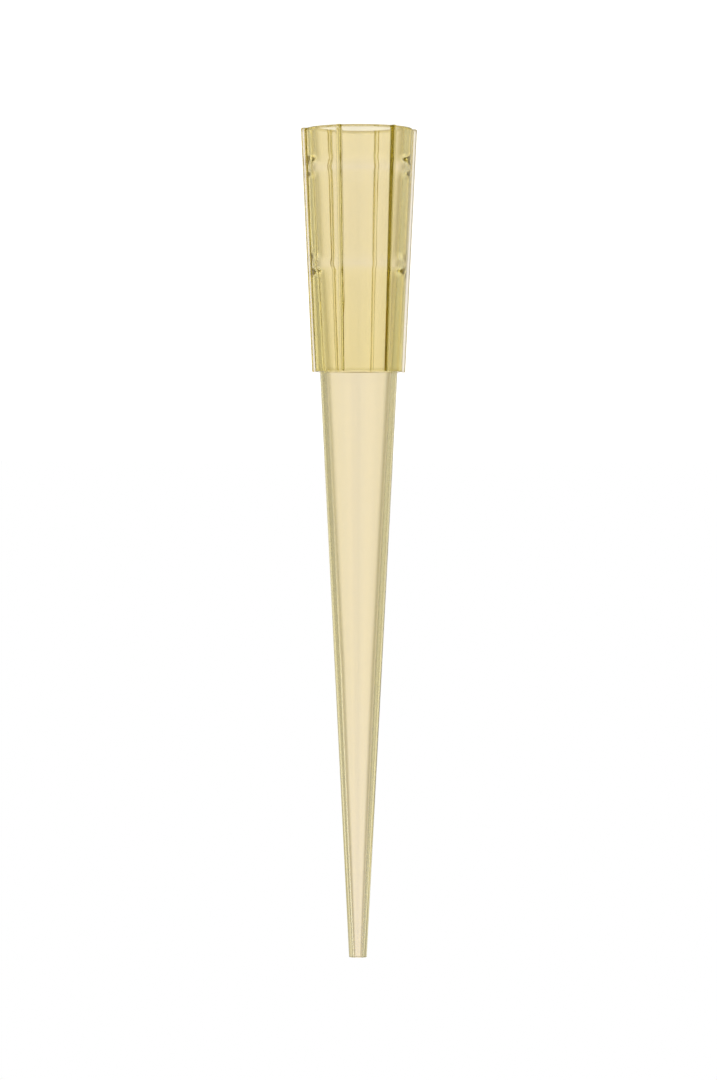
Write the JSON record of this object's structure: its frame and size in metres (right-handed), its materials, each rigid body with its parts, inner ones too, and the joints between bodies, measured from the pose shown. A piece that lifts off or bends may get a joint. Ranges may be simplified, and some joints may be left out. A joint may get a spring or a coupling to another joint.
{
  "type": "pipette tip",
  "caption": "Slender tapered plastic pipette tip: ribbed collar with two grooves inside its mouth, straight cone and fine orifice.",
  "frame": {"origin": "centre of the mouth's rim, on the tip's axis", "axes": "+Z along the axis from the mouth to the nose; +X through the middle of one rib"},
  "size_m": [0.0072, 0.0066, 0.051],
  "materials": {
    "amber_polypropylene": "translucent amber polypropylene, moulded, slightly hazy"
  },
  "bodies": {
    "root": {"pipette_tip": "amber_polypropylene"}
  },
  "joints": []
}
